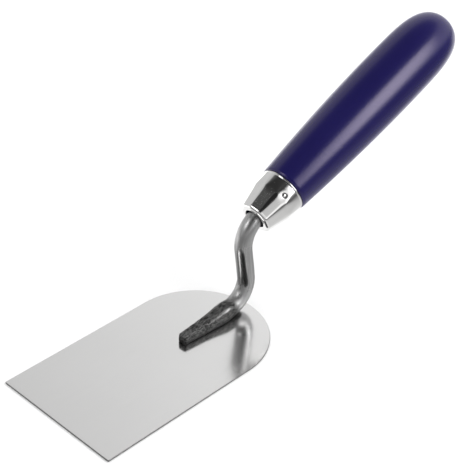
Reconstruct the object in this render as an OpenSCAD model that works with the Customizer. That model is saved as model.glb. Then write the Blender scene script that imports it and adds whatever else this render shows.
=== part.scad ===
// Stucco trowel: a thin round-backed steel blade, a forged swan neck, a drawn metal ferrule and a
// turned wooden handle. Millimetres. X runs from the blade's front edge towards the handle, Y across
// the blade and Z up. The origin is on the underside of the blade, half way along its length.

/* [Blade] */
// Width of the blade, which is also the diameter of its round back
blade_w = 80; // [60:1:100]
// Length of the blade from the straight front edge to the top of the round back
blade_len = 137.5; // [125:0.5:150]
// Thickness of the sheet
blade_t = 0.8; // [0.6:0.1:1.5]

/* [Neck] */
// Diameter of the round bar
bar_d = 9.8; // [9:0.1:11]
// Distance from the blade's front edge to the tip of the foot
foot_tip = 86.8; // [80:0.1:95]
// Width of the foot at its tip, on the blade
foot_tip_w = 6.4; // [5:0.1:9]
// Height of the foot at its tip
foot_tip_h = 4.9; // [3.5:0.1:6]
// Height of the foot where it starts to rise into the bar
foot_h = 6; // [5:0.1:7.5]
// Angle between each long side of the foot and its middle line
foot_taper = 3.7; // [1:0.1:6]
// Lean of the foot's long sides from upright
foot_lean = 5; // [0:1:20]
// Radius of the lower bend, to the middle of the bar
low_bend_r = 13.5; // [11:0.5:16]
// Lean of the upright stretch towards the front of the blade
shank_lean = 8; // [0:1:15]
// Length of the straight stretch between the two bends
shank_len = 19.3; // [14:0.1:26]
// Radius of the upper bend, to the middle of the bar
top_bend_r = 16; // [13:0.5:20]
// Tilt of the handle above the blade
handle_tilt = 22.65; // [15:0.05:35]
// Length of the round stretch of the bar past the upper bend
collar_len = 5; // [4:0.5:8]
// Width of the square tang at the collar
tang_w = 6.2; // [5:0.1:6.6]
// Width of the square tang near its point
tang_tip_w = 3.4; // [2:0.1:5]
// Length of the tang
tang_len = 84; // [50:1:110]

/* [Ferrule] */
// Length of the ferrule
ferrule_len = 24; // [20:0.5:30]
// Thickness of the drawn metal
ferrule_t = 0.8; // [0.5:0.1:1.2]
// Radius over the corners at the neck end
ferrule_small_r = 9.6; // [9.2:0.1:10.5]
// Radius where the taper meets the straight stretch
ferrule_knee_r = 13.1; // [12:0.1:14]
// Radius of the round rim at the handle end
ferrule_rim_r = 13.5; // [13:0.1:14.5]
// Radius of the round mouth that the bar goes through
mouth_r = 6.1; // [5.8:0.1:6.6]
// Number of flats round the ferrule
flats = 10; // [8:1:12]
// Turn of the flats about the handle's axis
flats_turn = -4; // [-18:1:18]
// Depth of the punched dimple that locks the ferrule on the wood
dimple_depth = 0.6; // [0.2:0.1:0.8]

/* [Handle] */
// Length of the grip, from the ferrule to the end
grip_len = 143; // [110:1:160]
// Radius of the grip at the ferrule
grip_front_r = 14.2; // [14:0.1:16]
// Largest radius of the grip
grip_r = 18; // [16:0.1:20]
// Distance from the ferrule to the thickest place
grip_swell = 95; // [70:1:100]
// Rounding of the grip's front edge
grip_edge_r = 0.7; // [0.3:0.1:1.2]

/* [Hidden] */

$fn = 96;
steel_bright = "#d4d5d7";
steel_forged = "#6f7173";
nickel = "#c9cbce";
lacquer = "#1f1b57";

back_r = blade_w / 2;
bar_r = bar_d / 2;

// Size of the blocks that cut a solid, and how far a cut starts outside it
big = 200;
cut_margin = 1;

// Foot: where the bar grows out of it, how steeply, and the bows of its tip and heel
rise_x = foot_tip + 24;
rise_angle = 17;
root_x = rise_x - 1;
tip_bow_r = 5.5;
heel_x = foot_tip + 38.1;
heel_bow_r = 6;
bow_steps = 16;
ridge_drop = 0.9;
ridge_lean = 50;

// Straight stretches of the bar: a hair thinner than the bends, and let into them by an overlap
straight_r = bar_r - 0.02;
bend_overlap = 0.5;

// Path of the bar, from the foot up to the ferrule. Its underside is ground flat on the blade
ground_flat = 0.3;
low_bend_x = foot_tip + 35.2;
low_bend_z = blade_t - ground_flat + bar_r + low_bend_r;
shank_x = low_bend_x + low_bend_r * cos(shank_lean);
shank_z = low_bend_z + low_bend_r * sin(shank_lean);
shank_top_x = shank_x - shank_len * sin(shank_lean);
shank_top_z = shank_z + shank_len * cos(shank_lean);
top_bend_x = shank_top_x + top_bend_r * cos(shank_lean);
top_bend_z = shank_top_z + top_bend_r * sin(shank_lean);
top_bend_turn = 90 + shank_lean - handle_tilt;
bend_end_x = top_bend_x - top_bend_r * sin(handle_tilt);
bend_end_z = top_bend_z + top_bend_r * cos(handle_tilt);

// Along the handle's axis, measured from the ferrule's mouth
bend_end_s = 2.2;
collar_end_s = bend_end_s + collar_len;
nose_s = 3;
knee_s = 14.5;
run_out_s = 21;
lip_s = ferrule_len - 1.5;
dimple_s = 16.6;

// Ferrule: roundings of its two ends, its flats and the ball that punched the dimple. The arcs' ends
// are angles from square to the axis, and the dimple's flat is counted from the top
mouth_edge_r = 1.3;
mouth_arc_end = -15;
lip_in = 0.5;
lip_r = 0.85;
lip_arc = 50;
inner_edge = 0.5;
edge_steps = 5;
corner_round = 0.014;
flat_share = cos(180 / flats) + corner_round;
small_share = cos(180 / flats) + 0.5 * corner_round;
flat_knee_s = knee_s - 0.7;
flat_knee_r = ferrule_knee_r * flat_share;
flat_cut_w = 30;
dimple_r = 5;
dimple_flat = 1.5;

// Tang: its point, and how far its shoulder is let into the collar
tang_point = 5;
tang_point_w = 0.8;
tang_in = 0.01;

// Shape of the grip: how fast it swells, and how full its round end is
swell_power = 1.87;
dome_power = 4;
dome_root = 2.86;
body_steps = 20;
dome_steps = 18;

// Radius of the grip at a distance from the ferrule
function grip_radius(s) =
    s < grip_swell
    ? grip_r - (grip_r - grip_front_r) * pow(1 - s / grip_swell, swell_power)
    : grip_r * pow(max(0, 1 - pow((s - grip_swell) / (grip_len - grip_swell), dome_power)), 1 / dome_root);

// Points on a circle about a centre, from one angle to another
function arc(cx, cy, r, from, to, steps) =
    [for (k = [0 : steps]) let (a = from + (to - from) * k / steps) [cx + r * cos(a), cy + r * sin(a)]];

// From the blade's front edge to the row origin
module from_front_edge() {
    translate([-blade_len / 2, 0, 0]) children();
}

// Local Z becomes the handle's axis, and local X points down and forward, square to it
module on_handle_axis() {
    translate([bend_end_x - bend_end_s * cos(handle_tilt), 0, bend_end_z - bend_end_s * sin(handle_tilt)])
        rotate([0, 90 - handle_tilt, 0])
            children();
}

module blade() {
    color(steel_bright)
        from_front_edge()
            linear_extrude(blade_t)
                union() {
                    translate([0, -back_r]) square([blade_len - back_r, blade_w]);
                    translate([blade_len - back_r, 0]) circle(back_r);
                }
}

// Flat block of the foot, with tapering, leaning sides and a ridge along each top edge
module foot() {
    difference() {
        linear_extrude(blade_t + foot_h)
            polygon(concat(
                arc(foot_tip + tip_bow_r, 0, tip_bow_r, 90, 270, bow_steps),
                arc(heel_x - heel_bow_r, 0, heel_bow_r, -90, 90, bow_steps)
            ));
        for (side = [-1, 1]) {
            foot_side_cut(side, 0, foot_lean);
            foot_side_cut(side, foot_h - ridge_drop, ridge_lean);
        }
        foot_top_cut();
    }
}

// Removes what lies outside one long side, from a height above the blade, at a lean
module foot_side_cut(side, height, lean) {
    inset = height * tan(foot_lean);
    translate([foot_tip, side * (foot_tip_w / 2 - inset), blade_t + height])
        rotate([0, 0, side * foot_taper])
            rotate([side * lean, 0, 0])
                translate([-big / 2, side > 0 ? 0 : -big, -big / 2])
                    cube([big, big, big]);
}

// Removes what lies above the line from the tip's top edge to the full height
module foot_top_cut() {
    slope = atan((foot_h - foot_tip_h) / (rise_x - foot_tip));
    translate([foot_tip, -big / 2, blade_t + foot_tip_h])
        rotate([0, -slope, 0])
            translate([-big / 2, 0, 0])
                cube([big, big, big]);
}

// Flattened end of the bar, which grows out of the foot's top
module bar_root() {
    difference() {
        translate([root_x, 0, low_bend_z - low_bend_r])
            rotate([0, 90, 0])
                cylinder(h = low_bend_x - root_x + bend_overlap, r = straight_r);
        translate([rise_x, -big / 2, blade_t + foot_h])
            rotate([0, -rise_angle, 0])
                translate([-big / 2, 0, 0])
                    cube([big, big, big]);
    }
}

// One bend of the bar in the XZ plane, about a centre, from one angle to another
module bar_bend(cx, cz, r, from, turn) {
    translate([cx, 0, cz])
        rotate([90, 0, 0])
            rotate([0, 0, from])
                rotate_extrude(angle = turn)
                    translate([r, 0])
                        circle(bar_r);
}

// Straight stretch of the bar, let into the bend below it
module straight_bar(length) {
    translate([0, 0, -bend_overlap]) cylinder(h = length + bend_overlap, r = straight_r);
}

// Square tang that tapers on all four sides: what two crossed wedges share
module tang() {
    intersection() {
        tang_wedge();
        rotate([0, 0, 90]) tang_wedge();
    }
}

// Flat wedge along the handle's axis, as wide as the tang one way and far wider the other
module tang_wedge() {
    shoulder = collar_end_s - tang_in;
    rotate([90, 0, 0])
        linear_extrude(2 * tang_w, center = true)
            polygon([
                [-tang_w / 2, shoulder],
                [tang_w / 2, shoulder],
                [tang_tip_w / 2, collar_end_s + tang_len - tang_point],
                [tang_point_w / 2, collar_end_s + tang_len],
                [-tang_point_w / 2, collar_end_s + tang_len],
                [-tang_tip_w / 2, collar_end_s + tang_len - tang_point]
            ]);
}

module neck() {
    color(steel_forged)
        from_front_edge()
            difference() {
                union() {
                    foot();
                    bar_root();
                    bar_bend(low_bend_x, low_bend_z, low_bend_r, -90, 90 + shank_lean);
                    translate([shank_x, 0, shank_z])
                        rotate([0, -shank_lean, 0])
                            straight_bar(shank_len + bend_overlap);
                    bar_bend(top_bend_x, top_bend_z, top_bend_r, 90 + handle_tilt, top_bend_turn);
                    on_handle_axis() {
                        translate([0, 0, bend_end_s]) straight_bar(collar_len);
                        tang();
                    }
                }
                translate([0, -big / 2, blade_t - big]) cube([2 * big, big, big]);
            }
}

// Outside of the ferrule: a taper and a nearly straight stretch, both cut into flats
module ferrule_outside() {
    difference() {
        rotate_extrude()
            polygon(concat(
                [[0, 0]],
                arc(ferrule_small_r - mouth_edge_r, mouth_edge_r, mouth_edge_r, -90, mouth_arc_end, edge_steps),
                [[ferrule_knee_r, knee_s], [ferrule_rim_r, lip_s]],
                arc(ferrule_rim_r - lip_in, (lip_s + ferrule_len) / 2, lip_r, -lip_arc, lip_arc, edge_steps),
                [[ferrule_rim_r - lip_in, ferrule_len], [0, ferrule_len]]
            ));
        for (k = [0 : flats - 1])
            rotate([0, 0, 180 + flats_turn + (k + 0.5) * 360 / flats])
                translate([flat_knee_r, 0, flat_knee_s])
                    flat_cuts();
        dimple(0);
    }
}

// What one flat takes off: all beyond a tapering plane and a second one, which meet at the knee
module flat_cuts() {
    taper = atan((flat_knee_r - ferrule_small_r * small_share) / flat_knee_s);
    run_out = atan((ferrule_rim_r - flat_knee_r) / (run_out_s - flat_knee_s));
    for (lean = [taper, run_out])
        rotate([0, lean, 0])
            translate([0, -flat_cut_w / 2, -flat_cut_w])
                cube([flat_cut_w, flat_cut_w, 2 * flat_cut_w]);
}

// Punched dimple: a ball that reaches into the middle of one flat. A wider ball makes the same
// dent on the inside of the metal.
module dimple(wall) {
    rotate([0, 0, 180 + flats_turn + dimple_flat * 360 / flats])
        translate([flat_knee_r + dimple_r - dimple_depth, 0, dimple_s])
            sphere(dimple_r + wall);
}

module ferrule() {
    color(nickel)
        from_front_edge()
            on_handle_axis()
                difference() {
                    ferrule_outside();
                    ferrule_inside();
                    translate([0, 0, -cut_margin]) cylinder(h = ferrule_t + 2 * cut_margin, r = mouth_r);
                }
}

// Room inside the ferrule, which is round and dented by the dimple
module ferrule_inside() {
    small_r = ferrule_small_r * flat_share - ferrule_t;
    difference() {
        rotate_extrude()
            polygon([
                [0, ferrule_t],
                [small_r - inner_edge, ferrule_t],
                [small_r, ferrule_t + inner_edge],
                [flat_knee_r - ferrule_t, knee_s],
                [ferrule_rim_r - lip_in - ferrule_t, run_out_s],
                [ferrule_rim_r - lip_in - ferrule_t, ferrule_len],
                [0, ferrule_len]
            ]);
        dimple(ferrule_t);
    }
}

module handle() {
    color(lacquer)
        from_front_edge()
            on_handle_axis()
                difference() {
                    union() {
                        translate([0, 0, ferrule_len]) grip();
                        difference() {
                            ferrule_inside();
                            translate([0, 0, -cut_margin]) cylinder(h = nose_s + cut_margin, r = ferrule_rim_r);
                        }
                    }
                    cylinder(h = collar_end_s, r = straight_r);
                    tang();
                }
}

// Turned grip: a slow swell, then a full round end
module grip() {
    body = [for (k = [1 : body_steps]) let (s = grip_swell * k / body_steps) [grip_radius(s), s]];
    dome = [for (k = [1 : dome_steps])
        let (f = 1 - pow(1 - k / dome_steps, 2), s = grip_swell + (grip_len - grip_swell) * f)
            [grip_radius(s), s]];
    rotate_extrude()
        polygon(concat(
            [[0, 0]],
            arc(grip_front_r - grip_edge_r, grip_edge_r, grip_edge_r, -90, 0, edge_steps),
            body,
            dome
        ));
}

blade();
neck();
ferrule();
handle();
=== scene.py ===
"""A small stucco trowel: blade, forged neck, faceted ferrule and lacquered wooden grip.

Everything is in metres, in the row frame: X from the blade's front edge towards the handle, Y across
the blade, Z up, with the origin on the blade's underside.
"""
import math

import bpy
import numpy as np
from mathutils import Matrix, Vector


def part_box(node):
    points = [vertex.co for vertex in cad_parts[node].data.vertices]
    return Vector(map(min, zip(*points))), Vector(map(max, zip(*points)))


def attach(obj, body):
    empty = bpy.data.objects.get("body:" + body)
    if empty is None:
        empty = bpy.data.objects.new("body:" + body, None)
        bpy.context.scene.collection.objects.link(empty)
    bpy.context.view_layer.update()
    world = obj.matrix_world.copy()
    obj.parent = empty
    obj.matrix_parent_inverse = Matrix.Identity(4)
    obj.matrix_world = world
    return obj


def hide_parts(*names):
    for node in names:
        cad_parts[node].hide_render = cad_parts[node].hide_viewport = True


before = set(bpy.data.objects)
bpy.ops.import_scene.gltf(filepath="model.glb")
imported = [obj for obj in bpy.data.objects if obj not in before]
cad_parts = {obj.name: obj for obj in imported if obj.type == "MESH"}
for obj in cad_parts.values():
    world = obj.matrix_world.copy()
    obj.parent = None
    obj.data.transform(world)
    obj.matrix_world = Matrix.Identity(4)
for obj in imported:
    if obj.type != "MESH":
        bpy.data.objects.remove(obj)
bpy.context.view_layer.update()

MM = 0.001
BODY = "root"
WHOLE_TURN = 2 * math.pi

# ---------------------------------------------------------------- sizes
BLADE_LOW, BLADE_HIGH = (np.array(corner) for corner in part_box("blade"))
BLADE_WIDTH = BLADE_HIGH[1] - BLADE_LOW[1]
FRONT_X = BLADE_LOW[0]
BLADE_TOP = BLADE_HIGH[2]

BAR_RADIUS = 4.9 * MM
FOOT_TIP_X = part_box("neck")[0][0]
FOOT_STRAIGHT = 35.2 * MM
FOOT_TIP_WIDTH = 6.4 * MM
FOOT_TIP_HEIGHT = 4.9 * MM
FOOT_HEIGHT = 6 * MM
FOOT_TAPER = math.radians(3.7)
FOOT_LEAN = math.radians(8)
LOW_BEND_RADIUS = 13.5 * MM
SHANK_LEAN = math.radians(8)
SHANK_LENGTH = 19.3 * MM
TOP_BEND_RADIUS = 16 * MM
HANDLE_TILT = math.radians(22.65)
COLLAR_LENGTH = 5 * MM
TANG_LENGTH = 82 * MM
BAR_HEIGHT = BLADE_TOP + BAR_RADIUS - 0.3 * MM

MOUTH_TO_BEND = 2.2 * MM
FERRULE_LENGTH = 24 * MM
MOUTH_RADIUS = 6.1 * MM
FLATS = 10
FLATS_TURN = math.radians(-4)

GRIP_LENGTH = 142.9 * MM
GRIP_FRONT_RADIUS = 14.2 * MM
GRIP_RADIUS = 18 * MM
GRIP_SWELL = 95 * MM

# seeds of the unevenness of each surface
LARGE_DENTS, SMALL_DENTS, DRAWN_WAVES, TURNED_WAVES = 11, 12, 13, 31

# ---------------------------------------------------------------- studio places
OBJECT_MIDDLE = (0.12, 0, 0.08)
FLOOR_HALF = 6
FLOOR_DROP = -0.3 * MM
MIDDLE_OF_FLOOR = (0.07, 0.02, 0)
GLOW_REACH = 0.15
SKIRTING_RADIUS = 2.5
SKIRTING_HEIGHT = 0.75

# directions seen from the object
FAR_SIDE = (0.35, 0.94, 0)
NEAR_SIDE = (0.30, -0.954, 0)
CAMERA_SIDE = (-0.43, -0.58, 0.69)
FRONT_SIDE = (-0.97, 0.0, 0.22)
RIGHT_SIDE = (0.687, -0.726, 0)

# place of the camera, and its azimuth, elevation and roll in degrees
CAMERA_AT = np.array([FRONT_X - 0.3021, -0.4050, 0.4575])
CAMERA_TURN = (-46.57, 34.50, 1.72)
SENSOR_WIDTH = 36
LENS = 103.4


# ---------------------------------------------------------------- meshes
def smooth_step(x, low, high):
    """0 below low, 1 above high, and the cubic 3t^2 - 2t^3 between them."""
    t = np.clip((x - low) / (high - low), 0, 1)
    return t * t * (3 - 2 * t)


def soft_min(a, b, width):
    """The smaller of a and b, with the corner where they cross rounded over a width."""
    h = np.clip(0.5 + 0.5 * (b - a) / width, 0, 1)
    return b + (a - b) * h - width * h * (1 - h)


def ripple(points, wavelength, seed, waves=14):
    """Smooth noise of about unit size: a sum of sines along seeded random directions, each with a
    wavelength within a third of the one given."""
    draw = np.random.default_rng(seed)
    way = draw.normal(size=(waves, 3))
    way /= np.linalg.norm(way, axis=1)[:, None]
    length = wavelength * draw.uniform(0.67, 1.5, waves)
    phase = draw.uniform(0, WHOLE_TURN, waves)
    angle = np.tensordot(points, (way / length[:, None] * WHOLE_TURN).T, 1) + phase
    return np.sin(angle).sum(-1) * math.sqrt(2 / waves)


def tube_mesh(name, rings, start=None, end=None, loop=False, attributes=None):
    """A closed surface from rings of points, an array of (stations, around, 3). The points of a ring
    run round it, and the last joins the first. start and end are the poles that close the two ends,
    or loop joins the last ring to the first. attributes holds arrays of one value or vector for each
    point, by name."""
    stations, around = rings.shape[:2]
    i = np.arange(stations if loop else stations - 1)[:, None]
    j = np.arange(around)[None, :]
    k = (j + 1) % around
    n = (i + 1) % stations
    corners = (i * around + j, n * around + j, n * around + k, i * around + k)
    faces = np.stack(np.broadcast_arrays(*corners), -1).reshape(-1, 4).tolist()
    points = [rings.reshape(-1, 3)]
    ring = np.arange(around)
    following = (ring + 1) % around
    poles = []
    if start is not None:
        pole = stations * around
        faces += np.stack([np.full(around, pole), ring, following], -1).tolist()
        points.append(np.array(start, float).reshape(1, 3))
        poles.append(0)
    if end is not None:
        pole = stations * around + len(poles)
        last = (stations - 1) * around
        faces += np.stack([np.full(around, pole), last + following, last + ring], -1).tolist()
        points.append(np.array(end, float).reshape(1, 3))
        poles.append(stations - 1)
    mesh = bpy.data.meshes.new(name)
    mesh.from_pydata(np.concatenate(points).tolist(), [], faces)
    mesh.polygons.foreach_set("use_smooth", np.ones(len(mesh.polygons), bool))
    for title, values in (attributes or {}).items():
        values = np.broadcast_to(values, (stations, around) + np.shape(values)[2:])
        flat = values.reshape(stations * around, -1)
        extra = [values[row].reshape(around, -1).mean(0, keepdims=True) for row in poles]
        flat = np.concatenate([flat] + extra)
        kind, field = ("FLOAT", "value") if flat.shape[1] == 1 else ("FLOAT_VECTOR", "vector")
        layer = mesh.attributes.new(title, kind, "POINT")
        layer.data.foreach_set(field, flat.astype(np.float32).ravel())
    mesh.validate()
    mesh.update()
    return mesh


def place(name, mesh, node, finish, slot):
    """Shows a mesh with its finish in place of a CAD node. The slot is not used."""
    piece = bpy.data.objects.new(name, mesh)
    bpy.context.scene.collection.objects.link(piece)
    piece.data.materials.append(finish)
    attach(piece, BODY)
    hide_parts(node)


def handle_frame():
    """Origin, length-wise, upward and sideways directions of the handle's axis. The origin is at the
    ferrule's mouth."""
    along = np.array([math.cos(HANDLE_TILT), 0, math.sin(HANDLE_TILT)])
    upward = np.array([-math.sin(HANDLE_TILT), 0, math.cos(HANDLE_TILT)])
    near_side = np.array([0.0, -1.0, 0.0])
    return bar_path()["collar"] - MOUTH_TO_BEND * along, along, upward, near_side


def round_axis(distance, radius, angle):
    """Points about the handle's axis, from the distance along it, the radius and the angle from the
    upward direction towards the near side."""
    origin, along, upward, near_side = handle_frame()
    return (origin + distance[..., None] * along
            + (radius * np.cos(angle))[..., None] * upward
            + (radius * np.sin(angle))[..., None] * near_side)


# ---------------------------------------------------------------- blade
def blade_outline(inset):
    """Points round the blade, a distance inside its edge. The back is a half circle as wide as the
    blade, the sides are straight, and the two front corners are rounded with a radius of 0.6 mm."""
    corner_radius, least_radius = 0.6 * MM, 0.02 * MM
    half = BLADE_WIDTH / 2 - inset
    corner = max(corner_radius - inset, least_radius)
    back_x = BLADE_HIGH[0] - BLADE_WIDTH / 2
    front = FRONT_X + inset
    back = np.linspace(-math.pi / 2, math.pi / 2, 97)
    turn = np.linspace(0, math.pi / 2, 7)
    side_x = np.linspace(back_x, front + corner, 40)[1:-1]
    front_y = np.linspace(half - corner, corner - half, 34)[1:-1]
    left_corner = (front + corner - corner * np.sin(turn), half - corner + corner * np.cos(turn))
    right_corner = (front + corner - corner * np.cos(turn), corner - half - corner * np.sin(turn))
    x = np.concatenate([back_x + half * np.cos(back), side_x, left_corner[0],
                        np.full(front_y.shape, front), right_corner[0], side_x[::-1]])
    y = np.concatenate([half * np.sin(back), np.full(side_x.shape, half), left_corner[1],
                        front_y, right_corner[1], np.full(side_x.shape, -half)])
    return x, y


def blade_mesh():
    """The outline carried from the middle of the underside, round the sheared edge and back to the
    middle of the top. The edge is a quarter circle of 0.12 mm at the bottom and a roll-over of
    0.22 mm at the top. Inside the edge, the rings shrink in proportion towards one point."""
    top_roll = 0.22 * MM
    low_roll = 0.12 * MM
    flat_inset, edge_inset = 1 * MM, 0.4 * MM
    turn = np.linspace(0, math.pi / 2, 5)
    shrink = np.array([0.02, 0.15, 0.35, 0.55, 0.75, 0.9, 0.975])
    rings, rim = [], []

    def ring(inset, share, z, edge):
        x, y = blade_outline(inset)
        rings.append(np.stack([x * share, y * share, np.full(x.shape, z)], -1))
        rim.append(edge)

    for share in shrink:
        ring(flat_inset, share, BLADE_LOW[2], 0)
    for inset in (flat_inset, edge_inset):
        ring(inset, 1, BLADE_LOW[2], 0)
    for angle in turn:
        ring(low_roll * (1 - math.sin(angle)), 1, BLADE_LOW[2] + low_roll * (1 - math.cos(angle)), 1)
    for angle in turn:
        ring(top_roll * (1 - math.cos(angle)), 1, BLADE_TOP - top_roll * (1 - math.sin(angle)),
             1 - angle / math.pi)
    for inset in (edge_inset, flat_inset):
        ring(inset, 1, BLADE_TOP, 0)
    for share in shrink[::-1]:
        ring(flat_inset, share, BLADE_TOP, 0)
    rings = np.array(rings)
    edge = np.broadcast_to(np.array(rim, float)[:, None], rings.shape[:2])
    return tube_mesh("blade", rings, start=(0, 0, BLADE_LOW[2]), end=(0, 0, BLADE_TOP),
                     attributes={"edge": edge})


# ---------------------------------------------------------------- neck
def bar_path():
    """The bar's middle line. Its heading turns evenly with distance: level along the foot, up through
    the lower bend until it leans forward, straight, then over the upper bend to the handle's tilt.
    The place is the running sum of the heading's cosine and sine."""
    low_turn = math.pi / 2 + SHANK_LEAN
    top_turn = low_turn - HANDLE_TILT
    low_start = FOOT_STRAIGHT
    low_end = low_start + LOW_BEND_RADIUS * low_turn
    top_start = low_end + SHANK_LENGTH
    top_end = top_start + TOP_BEND_RADIUS * top_turn
    total = top_end + COLLAR_LENGTH + TANG_LENGTH
    step = 0.02 * MM
    s = np.arange(0, total + step, step)
    heading = (low_turn * np.clip((s - low_start) / (low_end - low_start), 0, 1)
               - top_turn * np.clip((s - top_start) / (top_end - top_start), 0, 1))
    middle = (heading[1:] + heading[:-1]) / 2
    x = FOOT_TIP_X + np.concatenate([[0], np.cumsum(np.cos(middle))]) * step
    z = BAR_HEIGHT + np.concatenate([[0], np.cumsum(np.sin(middle))]) * step
    collar = np.array([np.interp(top_end, s, x), 0, np.interp(top_end, s, z)])
    return {"s": s, "x": x, "z": z, "heading": heading, "top_end": top_end, "total": total,
            "collar": collar}


def neck_mesh():
    """A squared-off round carried along the bar's middle line: |y/a|^n + |h/b|^n = 1, where the half
    width a, the half height b and the power n change along it. The foot is a wide, low, nearly
    rectangular section whose sides lean in, cut flat where it lies on the blade. It becomes round in
    the lower bend and square in the tang. The foot is roughened by small dents, as a hammer leaves."""
    path = bar_path()
    bend_end = path["top_end"]
    tip_mm = 1.2
    tip_round = tip_mm * MM
    foot_end, bar_start = 22 * MM, 43 * MM
    rise_start, rise_end = 14 * MM, 40 * MM
    tang_shares, tang_halves = [0, 0.94, 1], [3.05 * MM, 1.6 * MM, 0.4 * MM]
    foot_square, tang_square = 3.4, 4
    stations = np.concatenate([
        np.linspace(0, tip_mm, 9)[1:] ** 2 / tip_mm * MM,
        np.linspace(tip_round, bend_end, 620)[1:],
        bend_end + np.linspace(0, COLLAR_LENGTH, 12)[1:],
        bend_end + COLLAR_LENGTH + np.array([0.05, 0.3, 0.6, 1.0]) * MM,
        np.linspace(bend_end + COLLAR_LENGTH + 2 * MM, path["total"], 40)])
    around = 160
    angle = np.linspace(0, WHOLE_TURN, around, endpoint=False)[None, :]
    s = stations[:, None]

    foot = 1 - smooth_step(s, foot_end, bar_start)
    tang = smooth_step(s, bend_end + COLLAR_LENGTH, bend_end + COLLAR_LENGTH + 1 * MM)
    reach = (s - bend_end - COLLAR_LENGTH) / TANG_LENGTH
    tang_half = np.interp(reach, tang_shares, tang_halves)

    foot_half = FOOT_TIP_WIDTH / 2 + s * math.tan(FOOT_TAPER)
    foot_top = np.interp(s, [0, foot_end], [FOOT_TIP_HEIGHT, FOOT_HEIGHT]) + BLADE_TOP
    bar_top = BAR_HEIGHT + BAR_RADIUS
    rise = smooth_step(s, rise_start, rise_end)
    top = (foot_top * (1 - rise) + bar_top * rise) - BAR_HEIGHT
    half_width = foot_half * foot + BAR_RADIUS * (1 - foot)
    half_width = half_width * (1 - tang) + tang_half * tang
    power = 2 + foot_square * smooth_step(foot, 0.1, 0.9) + tang_square * tang

    across = np.sign(np.cos(angle)) * np.abs(np.cos(angle)) ** (2 / power)
    height = np.sign(np.sin(angle)) * np.abs(np.sin(angle)) ** (2 / power)
    bottom = BAR_RADIUS * (1 - tang) + tang_half * tang
    top = top * (1 - tang) + tang_half * tang
    h = np.where(height > 0, height * top, height * bottom)
    y = across * half_width
    lean = math.tan(FOOT_LEAN) * foot
    y -= np.sign(across) * np.clip(h + BAR_RADIUS, 0, None) * lean * np.abs(across)

    # the blunt tip is rounded all round its end face, a little less than a full quarter circle
    fullness = 0.9
    back = np.clip(1 - s / tip_round, 0, 1)
    inset = tip_round * (1 - np.sqrt(1 - back ** 2))
    y *= 1 - inset / half_width * fullness
    h = np.where(h > 0, h * (1 - inset / np.maximum(top, MM) * fullness), h)

    x_mid = np.interp(s, path["s"], path["x"])
    z_mid = np.interp(s, path["s"], path["z"])
    heading = np.interp(s, path["s"], path["heading"])
    x = x_mid - h * np.sin(heading)
    z = z_mid + h * np.cos(heading)
    rings = np.stack(np.broadcast_arrays(x, y, z), -1)

    # hammer dents on the foot and a slight unevenness of the drawn bar
    outward = np.stack(np.broadcast_arrays(
        -np.sin(heading) * np.sin(angle), np.cos(angle) + 0 * s, np.cos(heading) * np.sin(angle)), -1)
    large, small = ripple(rings, 4 * MM, LARGE_DENTS), ripple(rings, 1.4 * MM, SMALL_DENTS)
    dents = (large * 0.03 + small * 0.02) * MM
    shown = 1 - smooth_step(s, bend_end - 2 * MM, bend_end)
    drawn = ripple(rings, 14 * MM, DRAWN_WAVES) * 0.03 * MM
    rings = rings + outward * ((dents * foot + drawn * (1 - foot)) * shown)[..., None]
    rings[..., 2] = np.maximum(rings[..., 2], BLADE_TOP)

    straight = np.stack(np.broadcast_arrays(s, across * half_width, h), -1)
    ridge_at, ridge_width = 0.76, 0.2
    ridge = np.exp(-((np.abs(across * height) - ridge_at) / ridge_width) ** 2) * foot * (height > 0)
    end = np.array([path["x"][-1], 0, path["z"][-1]])
    start = np.array([rings[0, :, 0].mean(), 0, rings[0, :, 2].mean()])
    rings[0, :, 0] = start[0]
    return tube_mesh("neck", rings[:, ::-1], start=start, end=end,
                     attributes={"straight": straight[:, ::-1], "ridge": ridge[:, ::-1]})


# ---------------------------------------------------------------- ferrule
def ferrule_radius(s, angle):
    """Outer radius at a distance from the mouth and an angle about the axis. It is the softened
    smaller of a round form, which tapers up to a knee and then runs nearly straight, and ten flats
    whose distance from the axis tapers faster and runs out before the rim."""
    small_r, knee_r, rim_r = 9.6, 13.1, 13.5
    knee_s, rim_s = 14.5, 22.5
    flat_small_r, flat_knee_r = 9.22, 12.62
    flat_knee_s, run_out_length = 13.8, 7.2
    knee_round, crease_round = 0.35 * MM, 0.22 * MM
    round_form = np.interp(s, np.array([0, knee_s, rim_s]) * MM, np.array([small_r, knee_r, rim_r]) * MM)
    taper = (flat_knee_r - flat_small_r) / flat_knee_s
    run_out = (rim_r - flat_knee_r) / run_out_length
    before = flat_knee_r * MM + (s - flat_knee_s * MM) * taper
    beyond = flat_knee_r * MM + (s - flat_knee_s * MM) * run_out
    flat_form = soft_min(before, beyond, knee_round)
    pitch = WHOLE_TURN / FLATS
    off = (angle - FLATS_TURN + pitch / 2) % pitch - pitch / 2
    off = pitch / 2 - np.abs(off)
    return soft_min(round_form, flat_form / np.cos(off), crease_round)


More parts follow.
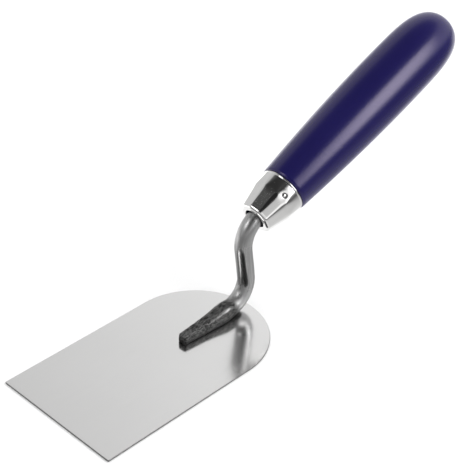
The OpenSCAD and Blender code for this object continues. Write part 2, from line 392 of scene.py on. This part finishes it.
def ferrule_mesh():
    """The outer skin is carried from the mouth's inner edge, over its rolled edge, along the flats and
    over the bead at the rim, and back along the round inside. A punch has marked the middle of one
    flat: a wide shallow dent, and in it a ring-shaped groove of 2.3 mm, whose depth is a bell curve
    of the distance from the ring."""
    roll = 2.0 * MM
    lip_round = 0.4 * MM
    bead_round, bead_middle_r = 0.62 * MM, 13.12 * MM
    around = 480
    angle = np.linspace(0, WHOLE_TURN, around, endpoint=False)[None, :]

    body_s = np.linspace(roll, 22.2 * MM, 150)[:, None]
    body_r = ferrule_radius(body_s, angle)

    # front face and rolled edge of the mouth
    lip = np.linspace(0, math.pi, 9)[:, None]
    lip_r = MOUTH_RADIUS + lip_round - lip_round * np.sin(lip) + 0 * angle
    lip_s = lip_round + lip_round * np.cos(lip) + 0 * angle
    edge_r = ferrule_radius(roll + 0 * angle, angle)
    face_share = np.linspace(0.15, 1, 8)[:, None]
    face_r = (MOUTH_RADIUS + lip_round) * (1 - face_share) + (edge_r - roll) * face_share
    face_s = 0.0 * face_r
    turn = np.linspace(0, math.pi / 2, 12)[1:-1, None]
    corner_r = edge_r - roll + roll * np.sin(turn)
    corner_s = roll - roll * np.cos(turn) + 0 * angle

    # the rolled bead at the rim, and the round inside from the rim back to the mouth
    bead = np.linspace(-0.32 * math.pi, 0.5 * math.pi, 14)[:, None]
    bead_r = bead_middle_r + bead_round * np.cos(bead) + 0 * angle
    bead_s = FERRULE_LENGTH - bead_round + bead_round * np.sin(bead) + 0 * angle
    inside_s = np.array([23.9, 21, 14.5, 8, 2.0, 0.9])[:, None] * MM + 0 * angle
    inside_r = np.array([12.2, 12.2, 11.8, 10.2, 8.7, 8.3])[:, None] * MM + 0 * angle

    s = np.concatenate([lip_s, face_s, corner_s, body_s + 0 * angle, bead_s, inside_s])
    r = np.concatenate([lip_r, face_r, corner_r, body_r, bead_r, inside_r])
    outside = np.concatenate([np.zeros(len(lip_s)), np.ones(len(s) - len(lip_s) - len(inside_s)),
                              np.zeros(len(inside_s))])[:, None]

    dimple_s, dimple_flat, flat_r = 16.7 * MM, 1.5, 13 * MM
    dent_depth, dent_reach = 0.1 * MM, 4 * MM
    groove_depth, groove_radius, groove_width = 0.3 * MM, 1.15 * MM, 0.34 * MM
    dimple_angle = FLATS_TURN + dimple_flat * WHOLE_TURN / FLATS
    aside = (angle - dimple_angle + math.pi) % WHOLE_TURN - math.pi
    away = np.hypot(s - dimple_s, aside * flat_r)
    dent = dent_depth * (1 - smooth_step(away, 0, dent_reach))
    groove = outside * np.exp(-((away - groove_radius) / groove_width) ** 2)
    r = r - outside * dent - groove_depth * groove
    rings = round_axis(s, r, angle + 0 * s)
    straight = np.stack([s, r * np.cos(angle), r * np.sin(angle)], -1)
    return tube_mesh("ferrule", rings, loop=True, attributes={"straight": straight, "groove": groove})


# ---------------------------------------------------------------- handle
def grip_profile():
    """Radius of the grip against the distance from the ferrule. It swells by a power of the distance
    still to go, then closes as a full round end, (1 - t^4) to the power 1/2.86."""
    swell_power = 1.87
    dome_power = 4
    dome_root = 2.86
    crowding = 2.4
    body_s = np.linspace(0.9 * MM, GRIP_SWELL, 90)
    body_r = GRIP_RADIUS - (GRIP_RADIUS - GRIP_FRONT_RADIUS) * (1 - body_s / GRIP_SWELL) ** swell_power
    share = 1 - (1 - np.linspace(0, 1, 90)[1:-1]) ** crowding
    dome_s = GRIP_SWELL + (GRIP_LENGTH - GRIP_SWELL) * share
    dome_r = GRIP_RADIUS * (1 - share ** dome_power) ** (1 / dome_root)
    return np.concatenate([body_s, dome_s]), np.concatenate([body_r, dome_r])


def handle_mesh():
    """The grip's profile turned about the handle's axis, with the nose that fills the ferrule and the
    socket that holds the tang. Lacquered wood is never quite round, so the radius wavers by a few
    hundredths of a millimetre."""
    around = 256
    angle = np.linspace(0, WHOLE_TURN, around, endpoint=False)[None, :]
    socket_s = np.array([92, 88, 50, 14, 8.2, 8.0, 3.6]) * MM - FERRULE_LENGTH
    socket_r = np.array([0.9, 2.6, 4.0, 4.75, 4.95, 5.0, 5.0]) * MM
    nose_s = np.array([3.2, 3.2, 3.6, 8, 14.5, 21, 23.8]) * MM - FERRULE_LENGTH
    nose_r = np.array([5.2, 8.3, 8.8, 9.9, 11.5, 12.0, 12.0]) * MM
    edge = 0.75 * MM
    front_gap = 0.08 * MM
    front_inner_r = 12.6 * MM
    waver = 0.0016
    turn = np.linspace(-math.pi / 2, 0, 8)
    front_s = np.concatenate([[front_gap], edge + front_gap + edge * np.sin(turn)])
    front_r = np.concatenate([[front_inner_r], GRIP_FRONT_RADIUS - edge + edge * np.cos(turn)])
    body_s, body_r = grip_profile()
    s = np.concatenate([socket_s, nose_s, front_s, body_s])
    r = np.concatenate([socket_r, nose_r, front_r, body_r])
    s = s[:, None] + FERRULE_LENGTH + 0 * angle
    r = r[:, None] + 0 * angle
    wavers = smooth_step(s, FERRULE_LENGTH + 1 * MM, FERRULE_LENGTH + 8 * MM)
    spread = np.stack([s / 6, r * np.cos(angle), r * np.sin(angle)], -1)
    r = r * (1 - waver * wavers * (1 + ripple(spread, 16 * MM, TURNED_WAVES)))
    rings = round_axis(s, r, angle + 0 * s)
    start = round_axis(s[0, :1], 0 * s[0, :1], 0 * s[0, :1])[0]
    tip = np.array([FERRULE_LENGTH + GRIP_LENGTH])
    end = round_axis(tip, 0 * tip, 0 * tip)[0]
    straight = np.stack([s, r * np.cos(angle), r * np.sin(angle)], -1)
    return tube_mesh("handle", rings, start=start, end=end, attributes={"straight": straight})


# ---------------------------------------------------------------- materials
class Signal:
    """An output socket in a node tree. Arithmetic on signals and numbers adds Math nodes."""

    def __init__(self, nodes, socket):
        self.nodes = nodes
        self.socket = socket

    def math(self, operation, first, second):
        return self.nodes.add("ShaderNodeMath", {"operation": operation}, {0: first, 1: second})

    def __add__(self, other):
        return self.math("ADD", self, other)

    def __sub__(self, other):
        return self.math("SUBTRACT", self, other)

    def __rsub__(self, other):
        return self.math("SUBTRACT", other, self)

    def __mul__(self, other):
        return self.math("MULTIPLY", self, other)

    def __rpow__(self, other):
        return self.math("POWER", other, self)

    __radd__ = __add__
    __rmul__ = __mul__

    def size(self):
        """Its distance from zero."""
        return self.math("ABSOLUTE", self, 0.0)

    def ramp(self, low, high):
        """0 below low and 1 above high, smooth between them; low may be the larger."""
        return self.nodes.add("ShaderNodeMapRange", {"interpolation_type": "SMOOTHSTEP"},
                              {0: self, 1: low, 2: high, 3: 0.0, 4: 1.0})


class Nodes:
    """A node tree, with one method that adds any node and a few that name the usual ones."""

    def __init__(self, tree):
        self.tree = tree

    def add(self, kind, settings=None, inputs=None, output=0):
        """A node of a kind: its settings first, then the values or signals of its inputs."""
        node = self.tree.nodes.new(kind)
        for field, value in (settings or {}).items():
            setattr(node, field, value)
        for key, value in (inputs or {}).items():
            self.feed(node.inputs[key], value)
        return Signal(self, node.outputs[output])

    def feed(self, socket, value):
        if isinstance(value, Signal):
            self.tree.links.new(value.socket, socket)
        else:
            socket.default_value = value

    def place(self, scale=(1, 1, 1)):
        """Object coordinates, stretched."""
        coordinates = self.add("ShaderNodeTexCoord", output="Object")
        return self.add("ShaderNodeMapping", {"vector_type": "POINT"}, {0: coordinates, 3: scale})

    def carried(self, title, scale=(1, 1, 1)):
        """A coordinate that is carried along the piece, stretched."""
        coordinates = self.add("ShaderNodeAttribute", {"attribute_name": title}, output="Vector")
        return self.add("ShaderNodeMapping", {"vector_type": "POINT"}, {0: coordinates, 3: scale})

    def amount(self, title):
        return self.add("ShaderNodeAttribute", {"attribute_name": title}, output="Fac")

    def split(self, vector, axis):
        return self.add("ShaderNodeSeparateXYZ", {}, {0: vector}, output=axis)

    def dot(self, vector, way):
        return self.add("ShaderNodeVectorMath", {"operation": "DOT_PRODUCT"}, {0: vector, 1: way},
                        output="Value")

    def noise(self, vector, size, detail=3.0, roughness=0.5):
        """Cloudy noise from 0 to 1, with blobs of about a size in metres."""
        return self.add("ShaderNodeTexNoise", {"noise_dimensions": "3D"},
                        {"Vector": vector, "Scale": 0.5 / size, "Detail": detail,
                         "Roughness": roughness})

    def cells(self, vector, size):
        """Distance from the middle of the nearest cell, in cells of about a size in metres."""
        return self.add("ShaderNodeTexVoronoi", {"feature": "F1"},
                        {"Vector": vector, "Scale": 1 / size}, output="Distance")

    def blend(self, mask, first, second):
        """The first colour where the mask is 0, the second where it is 1."""
        return self.add("ShaderNodeMix", {"data_type": "RGBA"}, {0: mask, 6: first, 7: second}, output=2)

    def bump(self, height, depth):
        """A Bump node's normal, from a height of 0 to 1 and its depth in metres."""
        return self.add("ShaderNodeBump", {}, {"Distance": depth, "Height": height}, output="Normal")


class Finish(Nodes):
    """One material with its Principled shader."""

    def __init__(self, name):
        self.material = bpy.data.materials.new(name)
        self.material.use_nodes = True
        super().__init__(self.material.node_tree)
        self.shader = self.tree.nodes["Principled BSDF"]

    def surface(self, **inputs):
        """Feeds the shader's inputs, named in small letters, and gives the material."""
        for title, value in inputs.items():
            self.feed(self.shader.inputs[title.replace("_", " ").title().replace("Ior", "IOR")], value)
        return self.material


def grey(value, warm=0.0):
    """An opaque grey, a little warm or cold."""
    return (value * (1 + warm), value, value * (1 - warm), 1.0)


def satin_stainless():
    """Rolled stainless sheet: fine grinding lines along the blade, faint clouds, small scratches, and
    a darker sheared edge."""
    finish = Finish("satin_stainless")
    lines = finish.noise(finish.place((0.02, 1, 1)), 0.05 * MM, 2.0)
    broad_lines = finish.noise(finish.place((0.03, 1, 1)), 0.6 * MM, 3.0)
    clouds = finish.noise(finish.place(), 30 * MM, 3.0)
    specks = finish.noise(finish.place(), 0.25 * MM, 2.0)
    scratch = finish.noise(finish.place((0.05, 1, 1)), 0.35 * MM, 1.0).ramp(0.72, 0.78)
    edge = finish.amount("edge").ramp(0.35, 0.75)
    shade = finish.blend(clouds, grey(0.70, 0.004), grey(0.76, 0.004))
    shade = finish.blend(broad_lines * 0.25, shade, grey(0.66))
    shade = finish.blend(edge, shade, grey(0.2))
    roughness = 0.12 + lines * 0.05 + clouds * 0.03 + scratch * 0.08 + edge * 0.2
    height = lines * 0.6 + specks * 0.15 - scratch * 0.5
    return finish.surface(base_color=shade, metallic=1.0, roughness=roughness,
                          normal=finish.bump(height, 0.0006 * MM))


def forged_bar():
    """Drawn and polished bar that runs into a hammered foot with dark fire scale. The border between the
    two is ragged, the bend above it is rubbed to a satin and the upper bend is scuffed dull. Fine lines
    run along the bar. The scale is lighter in dotted spots along the ridge, a painted highlight, with a
    broader painted highlight along the ridge at the heel. Next to the blade it is painted darkest, a
    painted contact shadow."""
    fray, ridge_shift, shadow_shift = 10 * MM, 9 * MM, 11 * MM
    scale_end, whole_scale = 42 * MM, 35 * MM
    satin_end, whole_satin = 56 * MM, 44 * MM
    scuff_start, whole_scuff = 77 * MM, 88 * MM
    heel_start, whole_heel = 12 * MM, 36 * MM
    finish = Finish("forged_bar")
    along = finish.split(finish.carried("straight"), "X")
    up = finish.split(finish.place(), "Z")
    ragged = finish.noise(finish.carried("straight", (0.5, 1, 1)), 2.5 * MM, 4.0)
    ridge = finish.amount("ridge")
    # painted contact shadow: the bar is painted darkest close to the blade, fading out 4.5 mm up
    contact_shadow = up.ramp(4.5 * MM, 1.0 * MM)
    frayed = along + (ragged - 0.5) * fray
    # the painted contact shadow also carries the dark scale further along the bar next to the blade
    scale_edge = frayed + ridge.ramp(0.1, 0.7) * ridge_shift - contact_shadow * shadow_shift
    scale_mask = scale_edge.ramp(scale_end, whole_scale)
    rubbed = frayed.ramp(satin_end, whole_satin)
    scuffed = along.ramp(scuff_start, whole_scuff)
    # painted highlight: a broad light wedge along the ridge at the heel
    heel = ridge.ramp(0.05, 0.6) * frayed.ramp(heel_start, whole_heel)
    draw_lines = finish.noise(finish.carried("straight", (0.02, 1, 1)), 0.3 * MM, 3.0)
    wide_lines = finish.noise(finish.carried("straight", (0.04, 1, 1)), 1.2 * MM, 2.0)
    grain = finish.noise(finish.carried("straight", (0.5, 1, 1)), 0.5 * MM, 4.0, 0.7)
    pits = finish.cells(finish.place(), 0.8 * MM)
    patches = finish.noise(finish.place(), 2.4 * MM, 4.0, 0.6)
    # painted highlight: dotted light spots along the ridge, which are also made more metallic below
    ridge_highlight = ridge.ramp(0.4, 0.95) * grain.ramp(0.46, 0.56)
    bright = finish.blend(draw_lines.ramp(0.25, 0.75), grey(0.26), grey(0.42))
    bright = finish.blend(wide_lines.ramp(0.5, 0.8) * 0.5, bright, grey(0.22))
    bright = finish.blend(rubbed * 0.75, bright, grey(0.54))
    bright = finish.blend(scuffed * 0.7, bright, grey(0.5))
    dark = finish.blend(grain.ramp(0.40, 0.62), grey(0.012), grey(0.11, 0.01))
    dark = finish.blend(patches.ramp(0.52, 0.7) * 0.4, dark, grey(0.12, 0.01))
    # painted highlight at the heel
    dark = finish.blend(heel * 0.3, dark, grey(0.24, 0.01))
    # painted highlight along the ridge
    dark = finish.blend(ridge_highlight * 0.6, dark, grey(0.28, 0.01))
    # painted contact shadow: the darkest grey next to the blade
    dark = finish.blend(contact_shadow * 0.85, dark, grey(0.008))
    shade = finish.blend(scale_mask, bright, dark)
    roughness = (0.15 + draw_lines * 0.14 + rubbed * 0.22 + scuffed * 0.14) * (1 - scale_mask)
    roughness = roughness + (0.4 + grain * 0.2) * scale_mask
    metallic = 1 - scale_mask * (0.55 - ridge_highlight * 0.4)
    height = draw_lines * (0.08 + rubbed * 0.06) * (1 - scale_mask) + (grain + pits * 0.4) * scale_mask
    return finish.surface(base_color=shade, metallic=metallic, roughness=roughness,
                          specular_tint=grey(0.6), normal=finish.bump(height, 0.1 * MM))


def bright_nickel():
    """Bright plating with faint drawing lines, a light haze and a few handling scratches. The punched
    groove is darker and rougher."""
    finish = Finish("bright_nickel")
    lines = finish.noise(finish.carried("straight", (0.05, 1, 1)), 0.2 * MM, 2.0)
    haze = finish.noise(finish.place(), 4 * MM, 4.0)
    scratch = finish.noise(finish.carried("straight", (1, 0.12, 0.12)), 0.3 * MM, 1.0).ramp(0.7, 0.76)
    groove = finish.amount("groove").ramp(0.3, 0.9)
    shade = finish.blend(haze, grey(0.74, 0.006), grey(0.82, 0.006))
    shade = finish.blend(groove * 0.9, shade, grey(0.04))
    roughness = 0.07 + haze * 0.06 + scratch * 0.1 + groove * 0.3
    height = lines * 0.3 + haze * 0.3 - scratch * 0.4
    return finish.surface(base_color=shade, metallic=1.0, roughness=roughness,
                          normal=finish.bump(height, 0.002 * MM))


def blue_lacquer():
    """Deep blue-violet lacquer over turned wood. The wood's grain shows as long low ridges under the
    gloss, with fine orange peel on top. A violet sheen lights the turning edges."""
    blue, light_blue = (0.0062, 0.0048, 0.056, 1), (0.0082, 0.0064, 0.070, 1)
    pore_blue = (0.0035, 0.003, 0.03, 1)
    finish = Finish("blue_lacquer")
    grain = finish.noise(finish.carried("straight", (0.06, 1, 1)), 1.6 * MM, 4.0, 0.6)
    pores = finish.noise(finish.carried("straight", (0.08, 1, 1)), 0.35 * MM, 2.0).ramp(0.64, 0.78)
    peel = finish.noise(finish.place(), 0.7 * MM, 3.0, 0.6)
    clouds = finish.noise(finish.place(), 18 * MM, 3.0)
    shade = finish.blend(clouds, blue, light_blue)
    shade = finish.blend(pores * 0.25, shade, pore_blue)
    height = grain * 0.45 + peel * 0.55 - pores * 0.15
    return finish.surface(base_color=shade, roughness=0.19 + clouds * 0.05 + peel * 0.06,
                          specular_ior_level=0.5, specular_tint=(1.0, 0.9, 1.04, 1),
                          sheen_weight=0.12, sheen_roughness=0.35, sheen_tint=(0.5, 0.42, 1, 1),
                          normal=finish.bump(height, 0.05 * MM))


# ---------------------------------------------------------------- studio
def stage_piece(name, mesh, material, at):
    """A piece of the studio, which isn't part of the object."""
    mesh.materials.append(material)
    piece = bpy.data.objects.new(name, mesh)
    piece.matrix_world = at
    bpy.context.scene.collection.objects.link(piece)
    return piece


def stage_sheet(name, half_x, half_y, material, at):
    """A flat rectangle of the studio."""
    mesh = bpy.data.meshes.new(name)
    corners = [(-half_x, -half_y, 0), (half_x, -half_y, 0), (half_x, half_y, 0), (-half_x, half_y, 0)]
    mesh.from_pydata(corners, [], [(0, 1, 2, 3)])
    return stage_piece(name, mesh, material, at)


def facing(at):
    """The place of a lamp or panel that stands at a point and faces the object."""
    turn = (Vector(OBJECT_MIDDLE) - Vector(at)).to_track_quat("-Z", "Y")
    return Matrix.Translation(at) @ turn.to_matrix().to_4x4()


def only_reflected(sheet):
    """Lets a panel show in reflections and nowhere else."""
    sheet.visible_camera = False
    sheet.visible_diffuse = False
    sheet.visible_shadow = False
    sheet.visible_transmission = False
    sheet.visible_volume_scatter = False
    sheet.data.materials[0].cycles.emission_sampling = "NONE"


def pale_floor():
    """Matt white paper just under the blade, far wider than any view of the object."""
    finish = Finish("pale_floor")
    mottle = finish.noise(finish.place(), 20 * MM, 2.0)
    paper = finish.surface(base_color=finish.blend(mottle, grey(0.88), grey(0.90)), roughness=0.9,
                           specular_ior_level=0.1)
    stage_sheet("floor", FLOOR_HALF, FLOOR_HALF, paper, Matrix.Translation((0, 0, FLOOR_DROP)))


def floor_glow():
    """What the object's gloss sees of the floor: bright close by and all over the far side, and
    falling off with distance elsewhere. The fall is 2 to the power -distance/reach."""
    least, near_gain, far_glow = 0.12, 0.98, 1.6
    finish = Finish("floor_glow")
    way = finish.add("ShaderNodeVectorMath", {"operation": "DISTANCE"},
                     {0: finish.place(), 1: MIDDLE_OF_FLOOR}, output="Value")
    glow = least + near_gain * 2 ** (way * (-1 / GLOW_REACH))
    far_side = finish.dot(finish.place(), FAR_SIDE).ramp(0.02, 0.16)
    glow = glow + (far_glow - glow) * far_side
    glowing = finish.surface(base_color=grey(0), roughness=1.0, specular_ior_level=0.0,
                             emission_color=glow, emission_strength=1.0)
    only_reflected(stage_sheet("floor_glow", FLOOR_HALF, FLOOR_HALF, glowing,
                               Matrix.Translation((0, 0, FLOOR_DROP / 2))))


def dark_skirting():
    """A dark band round the horizon, for reflections only. It is tall and fades out upwards on the
    near side, and is a thin line on the far side. It draws the creases of bright metal."""
    whole_tall, thin_end, whole_thin = 0.15, 0.14, 0.08
    near_start, near_whole = 0.2 * SKIRTING_RADIUS, 0.8 * SKIRTING_RADIUS
    angle = np.linspace(0, WHOLE_TURN, 96, endpoint=False)
    z = np.array([-0.01, SKIRTING_HEIGHT])[:, None] + 0 * angle
    x, y = (SKIRTING_RADIUS * wave(angle) + 0 * z for wave in (np.cos, np.sin))
    finish = Finish("dark_skirting")
    up = finish.split(finish.place(), "Z")
    near = finish.dot(finish.place(), NEAR_SIDE).ramp(near_start, near_whole)
    tall = up.ramp(SKIRTING_HEIGHT, whole_tall) * near
    thin = up.ramp(thin_end, whole_thin)
    dark = finish.surface(base_color=grey(0), roughness=1.0, specular_ior_level=0.0,
                          alpha=1 - (1 - tall) * (1 - thin), emission_color=grey(1),
                          emission_strength=0.12)
    band = tube_mesh("dark_skirting", np.stack([x, y, z], -1))
    only_reflected(stage_piece("dark_skirting", band, dark, Matrix.Identity(4)))


def softbox(name, at, half, margin, strength):
    """A glowing panel for reflections, which faces the object. It is even in the middle and fades
    out over its margins."""
    finish = Finish(name)
    place = finish.place()
    fade = 1.0
    for axis, reach, soft in zip("XY", half, margin):
        fade = finish.split(place, axis).size().ramp(reach, reach - soft) * fade
    panel = finish.surface(base_color=grey(0), roughness=1.0, specular_ior_level=0.0, alpha=fade,
                           emission_color=grey(1), emission_strength=strength)
    only_reflected(stage_sheet(name, *half, panel, facing(at)))


def lamp(name, kind, at, settings):
    """A soft light that faces the object. The panels stand for it in reflections."""
    data = bpy.data.lights.new(name, kind)
    for field, value in settings.items():
        setattr(data, field, value)
    light = bpy.data.objects.new(name, data)
    bpy.context.scene.collection.objects.link(light)
    light.matrix_world = facing(at)
    light.visible_camera = False
    light.visible_glossy = False


def studio_sky():
    """A white surround with a dark ceiling, a dark hole where the camera stands and a dim front. It
    is a little brighter towards the right and lower down. Each pair is where one of them starts and
    ends, as the cosine of the angle to its middle."""
    ceiling_edge, zenith_edge = (0.72, 0.84), (0.86, 0.97)
    hole_edge, front_edge = (0.855, 0.935), (0.62, 0.86)
    right_edge, low_edge = (-0.36, 0.12), (0.45, 0.72)
    ceiling_depth, zenith_depth, front_depth = 0.88, 0.1, 0.5
    left_light, right_gain, low_light, high_loss, least = 0.66, 0.46, 1.04, 0.16, 0.02
    world = bpy.data.worlds.new("studio")
    bpy.context.scene.world = world
    world.use_nodes = True
    sky = Nodes(world.node_tree)
    way = sky.add("ShaderNodeTexCoord", output="Generated")
    up = sky.split(way, "Z")
    ceiling = up.ramp(*ceiling_edge) * ceiling_depth + up.ramp(*zenith_edge) * zenith_depth
    hole = sky.dot(way, CAMERA_SIDE).ramp(*hole_edge)
    dim = front_depth * sky.dot(way, FRONT_SIDE).ramp(*front_edge)
    across = left_light + right_gain * sky.dot(way, RIGHT_SIDE).ramp(*right_edge)
    rising = low_light - high_loss * up.ramp(*low_edge)
    light = least + (1 - ceiling) * (1 - hole) * (1 - dim) * across * rising
    sky.feed(world.node_tree.nodes["Background"].inputs["Color"], light)


def camera():
    """The camera looks down on the blade from its front and near side."""
    azimuth, elevation, roll = (math.radians(angle) for angle in CAMERA_TURN)
    back = np.array([math.sin(azimuth) * math.cos(elevation), -math.cos(azimuth) * math.cos(elevation),
                     math.sin(elevation)])
    level = np.array([math.cos(azimuth), math.sin(azimuth), 0])
    rise = np.cross(back, level)
    right = level * math.cos(roll) + rise * math.sin(roll)
    up = rise * math.cos(roll) - level * math.sin(roll)
    data = bpy.data.cameras.new("camera")
    data.sensor_width = SENSOR_WIDTH
    data.lens = LENS
    data.clip_start = 0.01
    holder = bpy.data.objects.new("camera", data)
    bpy.context.scene.collection.objects.link(holder)
    turn = Matrix(np.array([right, up, back]).T.tolist()).to_4x4()
    holder.matrix_world = Matrix.Translation(CAMERA_AT.tolist()) @ turn
    bpy.context.scene.camera = holder


camera()
pale_floor()
floor_glow()
dark_skirting()
studio_sky()
softbox("near_softbox", at=(0.47, -0.97, 0.72), half=(0.38, 0.50), margin=(0.33, 0.30), strength=7.5)
softbox("front_softbox", at=(-0.76, 0.20, 0.86), half=(0.29, 0.29), margin=(0.18, 0.18), strength=4.8)
lamp("near_light", "AREA", (0.5, -0.97, 0.7), {"size": 0.9, "energy": 4.0})
lamp("overhead_light", "SUN", (0.2, -0.3, 2), {"angle": 2.0, "energy": 2.3})
bpy.context.scene.view_settings.view_transform = "Standard"

place("blade_sheet", blade_mesh(), "blade", satin_stainless(), "blade_steel")
place("swan_neck", neck_mesh(), "neck", forged_bar(), "forged_steel")
place("pressed_ferrule", ferrule_mesh(), "ferrule", bright_nickel(), "ferrule_nickel")
place("turned_handle", handle_mesh(), "handle", blue_lacquer(), "lacquered_wood")
